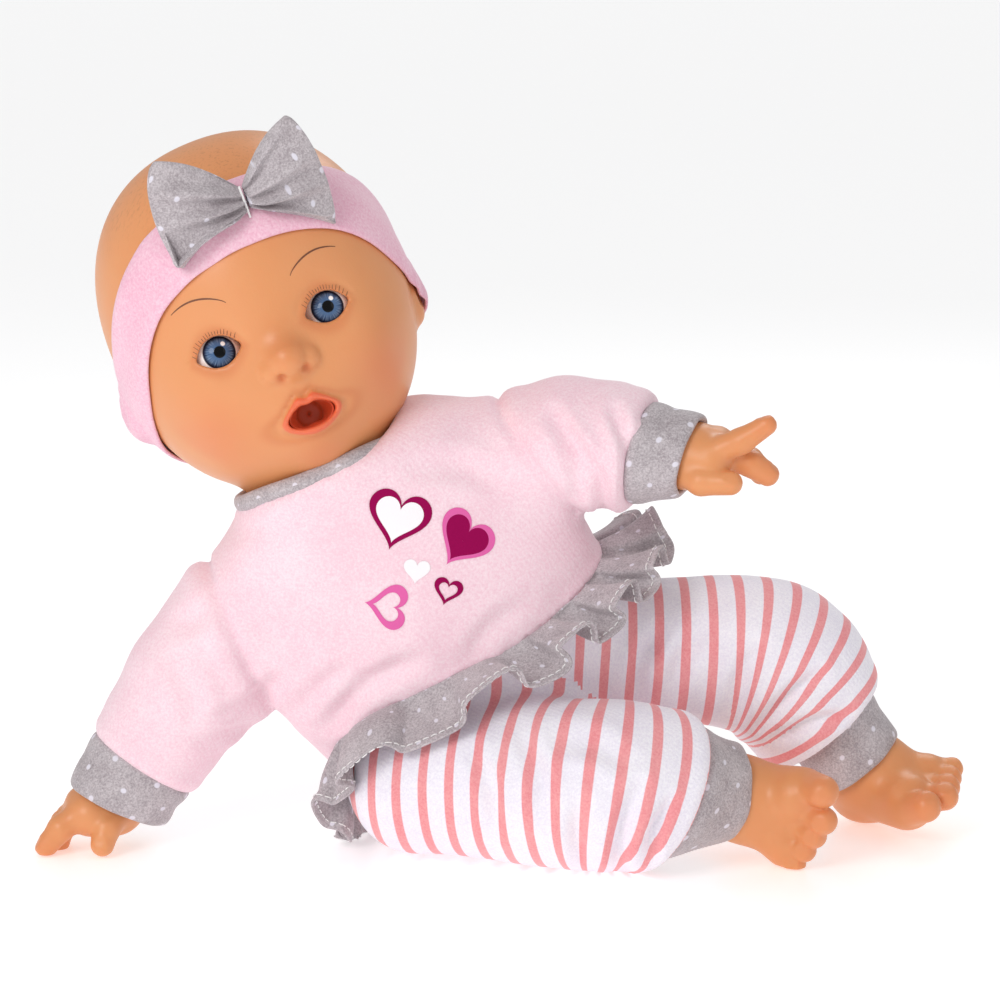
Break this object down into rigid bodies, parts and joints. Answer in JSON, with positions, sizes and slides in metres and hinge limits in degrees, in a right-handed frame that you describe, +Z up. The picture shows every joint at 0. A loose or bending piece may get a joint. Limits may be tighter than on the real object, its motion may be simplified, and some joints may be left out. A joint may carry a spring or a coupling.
{
  "type": "soft-bodied interactive baby doll",
  "caption": "Reclining soft-bodied baby doll with vinyl head, hands and feet, ruffled top, striped leggings, bow headband and a sound module in its belly.",
  "frame": {"origin": "on the floor under the middle of the posed doll's bounding box", "axes": "+Z up, the face and belly look towards -Y, +X runs from the propped right hand towards the feet"},
  "size_m": [0.33, 0.1345, 0.2688],
  "materials": {
    "vinyl_skin": "soft vinyl with a satin skin-tone finish",
    "eye_plastic": "clear-coated eye insert",
    "lip_vinyl": "coral painted vinyl",
    "pink_jersey": "brushed cotton jersey",
    "grey_dot_jersey": "grey melange jersey with small white dots",
    "striped_jersey": "white jersey with salmon stripes",
    "calico": "woven cotton cover over polyester filling",
    "white_trim": "thread, elastic and hook-and-loop tape",
    "nylon_tie": "moulded nylon",
    "white_abs": "moulded ABS",
    "pink_abs": "moulded ABS",
    "black_plastic": "moulded plastic",
    "board_green": "fibreglass circuit board",
    "steel": "zinc-plated steel",
    "gold_contact": "plated brass",
    "wire_red": "insulated wire"
  },
  "bodies": {
    "torso": {"cloth_body": "calico", "neck_tie": "nylon_tie", "top_bodice": "pink_jersey", "neck_binding": "grey_dot_jersey", "hem_ruffle": "grey_dot_jersey", "back_closure": "white_trim", "leggings_seat": "striped_jersey", "waist_elastic": "white_trim", "module_front_housing": "white_abs", "module_rear_housing": "white_abs", "battery_door": "white_abs", "battery_door_screw": "steel", "housing_screws": "steel", "circuit_board": "board_green", "speaker": "black_plastic", "speaker_magnet": "steel", "speaker_wires": "wire_red", "button_cells": "steel", "battery_contacts": "gold_contact", "tact_switch": "black_plastic", "button_spring": "steel"},
    "head": {"head_shell": "vinyl_skin", "left_eye": "eye_plastic", "right_eye": "eye_plastic", "mouth_liner": "lip_vinyl", "headband": "pink_jersey", "headband_bow": "grey_dot_jersey", "bow_stitch": "white_trim"},
    "press_button": {"press_button": "pink_abs"},
    "slide_switch": {"slide_switch": "black_plastic"},
    "right_arm": {"right_arm": "calico", "right_sleeve": "pink_jersey", "right_sleeve_cuff": "grey_dot_jersey", "right_wrist_tie": "nylon_tie"},
    "right_hand": {"right_hand": "vinyl_skin"},
    "right_thigh": {"right_thigh": "calico", "right_legging_thigh": "striped_jersey"},
    "right_shin": {"right_shin": "calico", "right_legging_shin": "striped_jersey", "right_legging_cuff": "grey_dot_jersey", "right_ankle_tie": "nylon_tie"},
    "right_foot": {"right_foot": "vinyl_skin"},
    "left_arm": {"left_arm": "calico", "left_sleeve": "pink_jersey", "left_sleeve_cuff": "grey_dot_jersey", "left_wrist_tie": "nylon_tie"},
    "left_hand": {"left_hand": "vinyl_skin"},
    "left_thigh": {"left_thigh": "calico", "left_legging_thigh": "striped_jersey"},
    "left_shin": {"left_shin": "calico", "left_legging_shin": "striped_jersey", "left_legging_cuff": "grey_dot_jersey", "left_ankle_tie": "nylon_tie"},
    "left_foot": {"left_foot": "vinyl_skin"}
  },
  "joints": [
    {"name": "neck_turn", "type": "hinge", "parent": "torso", "child": "head", "pos_m": [-0.062, -0.005, 0.137], "axis": [-0.3867, 0.0862, 0.9182], "range_deg": [-35, 35]},
    {"name": "right_shoulder_lift", "type": "hinge", "parent": "torso", "child": "right_arm", "pos_m": [-0.098, 0.001, 0.077], "axis": [0, 1, 0], "range_deg": [0, 30]},
    {"name": "right_wrist_swivel", "type": "hinge", "parent": "right_arm", "child": "right_hand", "pos_m": [-0.136, -0.005, 0.0195], "axis": [-0.5493, -0.0867, -0.8311], "range_deg": [-20, 30]},
    {"name": "left_shoulder_lift", "type": "hinge", "parent": "torso", "child": "left_arm", "pos_m": [0.009, -0.001, 0.146], "axis": [0, 1, 0], "range_deg": [-20, 20]},
    {"name": "left_wrist_swivel", "type": "hinge", "parent": "left_arm", "child": "left_hand", "pos_m": [0.061, -0.019, 0.145], "axis": [0.9448, -0.3271, -0.0182], "range_deg": [-40, 40]},
    {"name": "right_hip_swing", "type": "hinge", "parent": "torso", "child": "right_thigh", "pos_m": [-0.022, -0.023, 0.0285], "axis": [0, 0, 1], "range_deg": [-22, 6]},
    {"name": "right_knee_bend", "type": "hinge", "parent": "right_thigh", "child": "right_shin", "pos_m": [0.038, -0.041, 0.0295], "axis": [0, 0, 1], "range_deg": [-20, 15]},
    {"name": "right_ankle_swivel", "type": "hinge", "parent": "right_shin", "child": "right_foot", "pos_m": [0.0775, -0.0265, 0.0255], "axis": [0.9345, 0.3431, -0.0946], "range_deg": [-15, 15]},
    {"name": "left_hip_swing", "type": "hinge", "parent": "torso", "child": "left_thigh", "pos_m": [0.035, 0.015, 0.069], "axis": [0, 0, 1], "range_deg": [-4, 22]},
    {"name": "left_knee_bend", "type": "hinge", "parent": "left_thigh", "child": "left_shin", "pos_m": [0.106, 0.019, 0.066], "axis": [0, 1, 0], "range_deg": [-30, 0]},
    {"name": "left_ankle_swivel", "type": "hinge", "parent": "left_shin", "child": "left_foot", "pos_m": [0.13, 0.021, 0.0255], "axis": [0.5093, 0.0424, -0.8595], "range_deg": [-20, 20]},
    {"name": "press_button_slide", "type": "slide", "parent": "torso", "child": "press_button", "axis": [-0.089, 0.9879, 0.1267], "range_m": [0, 0.0015], "stiffness_N_per_m": 300, "springref_m": -0.001, "deforming": ["button_spring"]},
    {"name": "power_switch_slide", "type": "slide", "parent": "torso", "child": "slide_switch", "axis": [0.8184, 0, 0.5746], "range_m": [0, 0.0025]}
  ]
}
